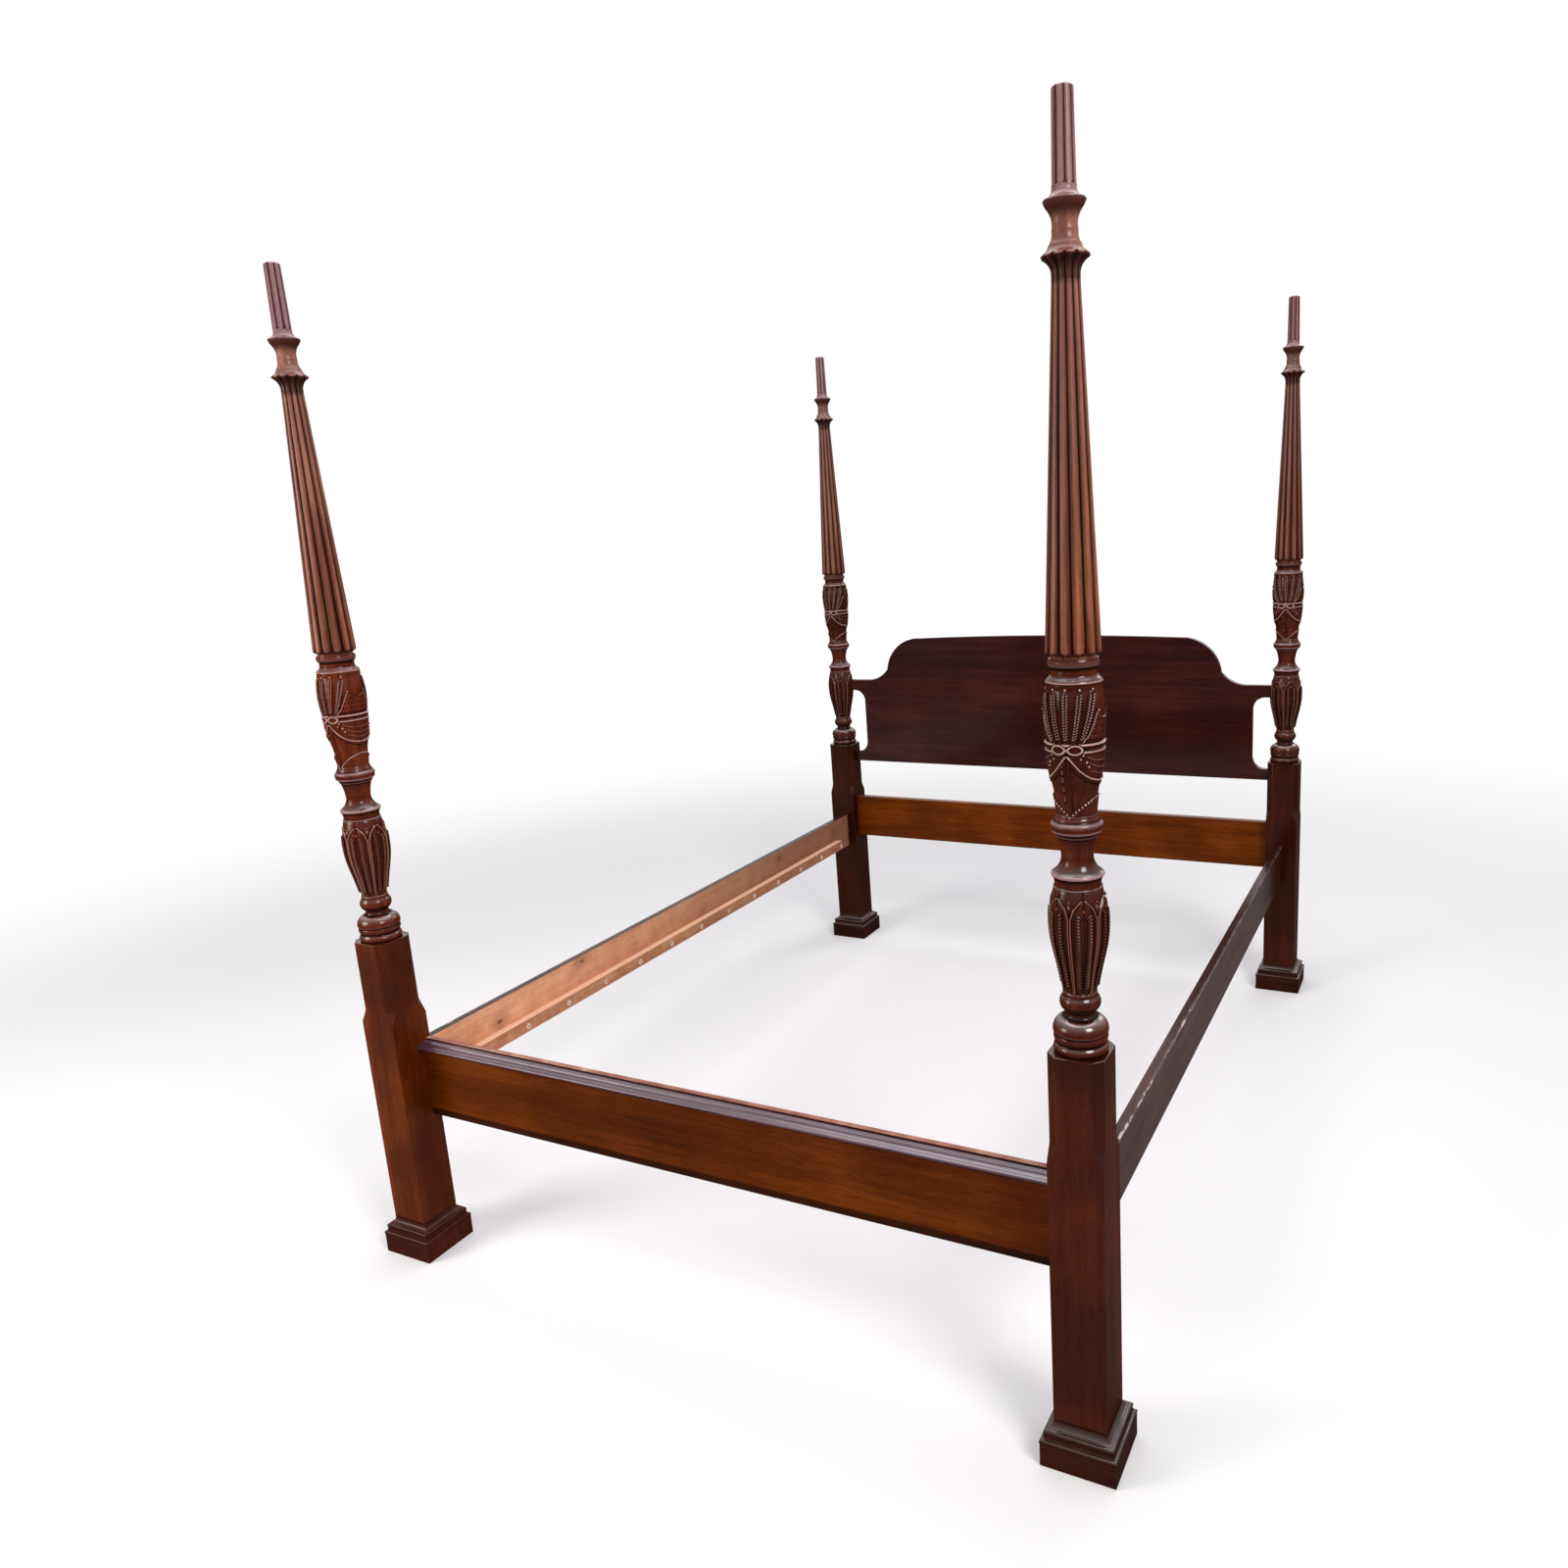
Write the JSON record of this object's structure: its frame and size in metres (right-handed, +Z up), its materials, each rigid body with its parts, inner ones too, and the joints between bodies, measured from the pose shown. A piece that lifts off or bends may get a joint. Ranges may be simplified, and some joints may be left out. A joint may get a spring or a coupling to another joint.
{
  "type": "four-poster bed",
  "caption": "Tall-post bed frame: square blocks on moulded feet, turned and reeded posts with finials, shaped headboard panel, hook-on side rails with slat ledgers.",
  "frame": {"origin": "on the floor, at the middle of the bed's width and length", "axes": "+X to the bed's right seen from its foot, +Y from the foot to the head, +Z up"},
  "size_m": [1.7198, 2.2848, 2.1363],
  "materials": {
    "post_wood": "glossy dark red-brown lacquered mahogany",
    "rail_wood": "glossy orange-brown lacquered mahogany",
    "headboard_wood": "glossy dark red-brown lacquered mahogany",
    "moulding_wood": "worn satin dark red-brown mahogany",
    "bare_wood": "bare sawn softwood",
    "dowel_wood": "bare turned beech",
    "steel": "zinc-plated steel"
  },
  "bodies": {
    "frame": {"column_dowel_foot_left": "dowel_wood", "column_dowel_foot_right": "dowel_wood", "column_dowel_head_left": "dowel_wood", "column_dowel_head_right": "dowel_wood", "column_foot_left": "post_wood", "column_foot_right": "post_wood", "column_head_left": "post_wood", "column_head_right": "post_wood", "finial_pin_foot_left": "steel", "finial_pin_foot_right": "steel", "finial_pin_head_left": "steel", "finial_pin_head_right": "steel", "foot_rail": "rail_wood", "foot_rail_moulding": "moulding_wood", "head_rail": "rail_wood", "headboard": "headboard_wood", "plinth_foot_left": "post_wood", "plinth_foot_right": "post_wood", "plinth_head_left": "post_wood", "plinth_head_right": "post_wood", "post_foot_left": "post_wood", "post_foot_right": "post_wood", "post_head_left": "post_wood", "post_head_right": "post_wood", "slotted_plate_foot_left": "steel", "slotted_plate_foot_right": "steel", "slotted_plate_head_left": "steel", "slotted_plate_head_right": "steel", "slotted_plate_screws": "steel"},
    "left_rail": {"side_rail_left": "rail_wood", "ledger_left": "bare_wood", "ledger_screws_left": "steel", "hook_plate_screws_left": "steel", "hook_plate_foot_left": "steel", "hook_plate_head_left": "steel"},
    "right_rail": {"side_rail_right": "rail_wood", "ledger_right": "bare_wood", "ledger_screws_right": "steel", "hook_plate_screws_right": "steel", "hook_plate_foot_right": "steel", "hook_plate_head_right": "steel"},
    "finial_body_foot_left": {"finial_foot_left": "post_wood"},
    "finial_body_foot_right": {"finial_foot_right": "post_wood"},
    "finial_body_head_left": {"finial_head_left": "post_wood"},
    "finial_body_head_right": {"finial_head_right": "post_wood"}
  },
  "joints": [
    {"name": "left_rail_lift", "type": "slide", "parent": "frame", "child": "left_rail", "axis": [0, 0, 1], "range_m": [0, 0.014]},
    {"name": "right_rail_lift", "type": "slide", "parent": "frame", "child": "right_rail", "axis": [0, 0, 1], "range_m": [0, 0.014]},
    {"name": "finial_lift_foot_left", "type": "slide", "parent": "frame", "child": "finial_body_foot_left", "axis": [0, 0, 1], "range_m": [0, 0.048]},
    {"name": "finial_lift_foot_right", "type": "slide", "parent": "frame", "child": "finial_body_foot_right", "axis": [0, 0, 1], "range_m": [0, 0.048]},
    {"name": "finial_lift_head_left", "type": "slide", "parent": "frame", "child": "finial_body_head_left", "axis": [0, 0, 1], "range_m": [0, 0.048]},
    {"name": "finial_lift_head_right", "type": "slide", "parent": "frame", "child": "finial_body_head_right", "axis": [0, 0, 1], "range_m": [0, 0.048]}
  ]
}
